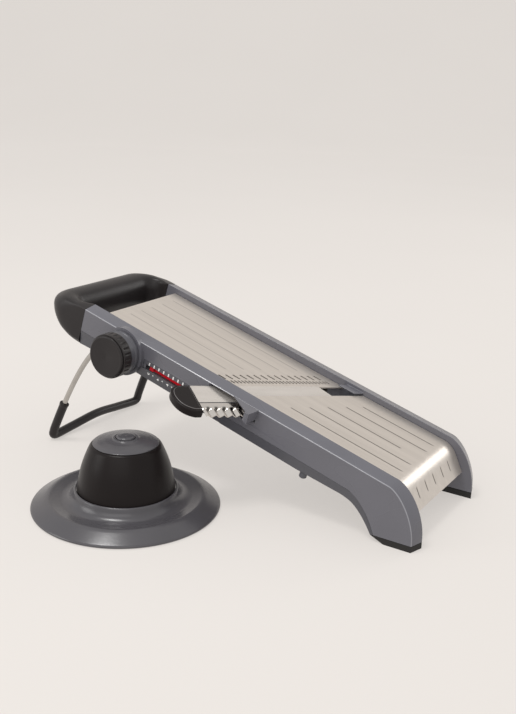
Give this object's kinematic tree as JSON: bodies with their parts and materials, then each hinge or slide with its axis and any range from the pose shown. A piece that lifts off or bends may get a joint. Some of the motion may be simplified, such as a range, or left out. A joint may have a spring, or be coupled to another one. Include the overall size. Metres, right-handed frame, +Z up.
{
  "type": "mandoline slicer",
  "caption": "Sloping mandoline slicer with a dial-set runway, pull-out blade cartridge, folding wire leg and a separate food holder.",
  "frame": {"origin": "on the floor, under the middle of the whole set", "axes": "+X from the handle to the feet, +Z up; the dial is on the -Y side"},
  "size_m": [0.4001, 0.286, 0.1541],
  "materials": {
    "slate": "satin moulded shell",
    "slate_dark": "satin moulded shell",
    "black_soft": "soft-touch moulding",
    "inner_plastic": "plain moulding",
    "red_plastic": "glossy",
    "plate_steel": "fine brushed along the length",
    "blade_steel": "ground and polished",
    "foot_rubber": "matt",
    "brim_plastic": "satin moulding"
  },
  "bodies": {
    "slicer": {"upper_rail_dial_side": "slate", "upper_rail_far_side": "slate", "dial_collar": "slate", "lower_rail_dial_side": "slate_dark", "lower_rail_far_side": "slate_dark", "rear_cross_member": "slate_dark", "front_cross_member": "slate_dark", "blade_bed": "slate_dark", "blade_seat": "slate_dark", "bowl_stop_dial_side": "slate_dark", "bowl_stop_far_side": "slate_dark", "handle_grip": "black_soft", "scale_plate": "black_soft", "dial_bush": "inner_plastic", "sled_guide_dial_side": "inner_plastic", "sled_guide_far_side": "inner_plastic", "landing_plate": "plate_steel", "handle_screw_dial_side": "blade_steel", "handle_screw_far_side": "blade_steel", "runway_pin_dial_side": "blade_steel", "runway_pin_far_side": "blade_steel", "leg_pin_dial_side": "blade_steel", "leg_pin_far_side": "blade_steel", "foot_pad_dial_side": "foot_rubber", "foot_pad_far_side": "foot_rubber"},
    "dial": {"dial_knob": "black_soft", "dial_cap": "black_soft", "dial_shaft": "blade_steel", "dial_pinion": "inner_plastic", "dial_clip": "blade_steel"},
    "sled": {"sled_plate": "inner_plastic", "sled_rack": "inner_plastic", "thickness_pointer": "red_plastic"},
    "runway": {"runway_plate": "plate_steel", "runway_carrier": "inner_plastic"},
    "combs": {"fry_comb": "blade_steel", "julienne_comb": "blade_steel"},
    "cartridge": {"cartridge_grip": "black_soft", "cartridge_frame": "inner_plastic", "straight_blade": "blade_steel", "wavy_blade": "blade_steel"},
    "leg": {"leg_wire": "blade_steel", "leg_sleeve": "black_soft", "leg_hub_dial_side": "black_soft", "leg_hub_far_side": "black_soft"},
    "holder": {"holder_brim": "brim_plastic", "holder_dome": "black_soft", "holder_cap": "brim_plastic", "stem_guide": "inner_plastic"},
    "plunger": {"plunger_button": "brim_plastic", "plunger_stem": "inner_plastic", "pusher_plate": "black_soft", "plunger_spring": "blade_steel"}
  },
  "joints": [
    {"name": "dial_turn", "type": "hinge", "parent": "slicer", "child": "dial", "pos_m": [-0.09776, -0.01165, 0.11303], "axis": [0, -1, 0], "range_deg": [-36.8, 225]},
    {"name": "sled_slide", "type": "slide", "parent": "slicer", "child": "sled", "axis": [0.9603, 0, -0.279], "range_m": [-0.0045, 0.0275]},
    {"name": "runway_tilt", "type": "hinge", "parent": "slicer", "child": "runway", "pos_m": [-0.13174, 0.07235, 0.13227], "axis": [0, 1, 0], "range_deg": [-0.52, 3.15]},
    {"name": "comb_lift", "type": "slide", "parent": "runway", "child": "combs", "axis": [0.2874, 0, 0.9578], "range_m": [0, 0.007]},
    {"name": "cartridge_slide", "type": "slide", "parent": "slicer", "child": "cartridge", "axis": [-0.4801, -0.866, 0.1395], "range_m": [-0.032, 0.11]},
    {"name": "leg_fold", "type": "hinge", "parent": "slicer", "child": "leg", "pos_m": [-0.12495, 0.07235, 0.1126], "axis": [0, -1, 0], "range_deg": [0, 100]},
    {"name": "holder_slide", "type": "slide", "parent": "slicer", "child": "holder", "axis": [0, -1, 0], "range_m": [0, 0.0875]},
    {"name": "plunger_press", "type": "slide", "parent": "holder", "child": "plunger", "axis": [0, 0, -1], "range_m": [0, 0.012], "stiffness_N_per_m": 150, "springref_m": -0.01, "deforming": ["plunger_spring"]}
  ],
  "couplings": [
    {"joint": "sled_slide", "follows": "dial_turn", "m_per_rad": 0.007},
    {"joint": "runway_tilt", "follows": "dial_turn", "ratio": 0.01394},
    {"joint": "holder_slide", "follows": "leg_fold", "m_per_rad": 0.05}
  ]
}
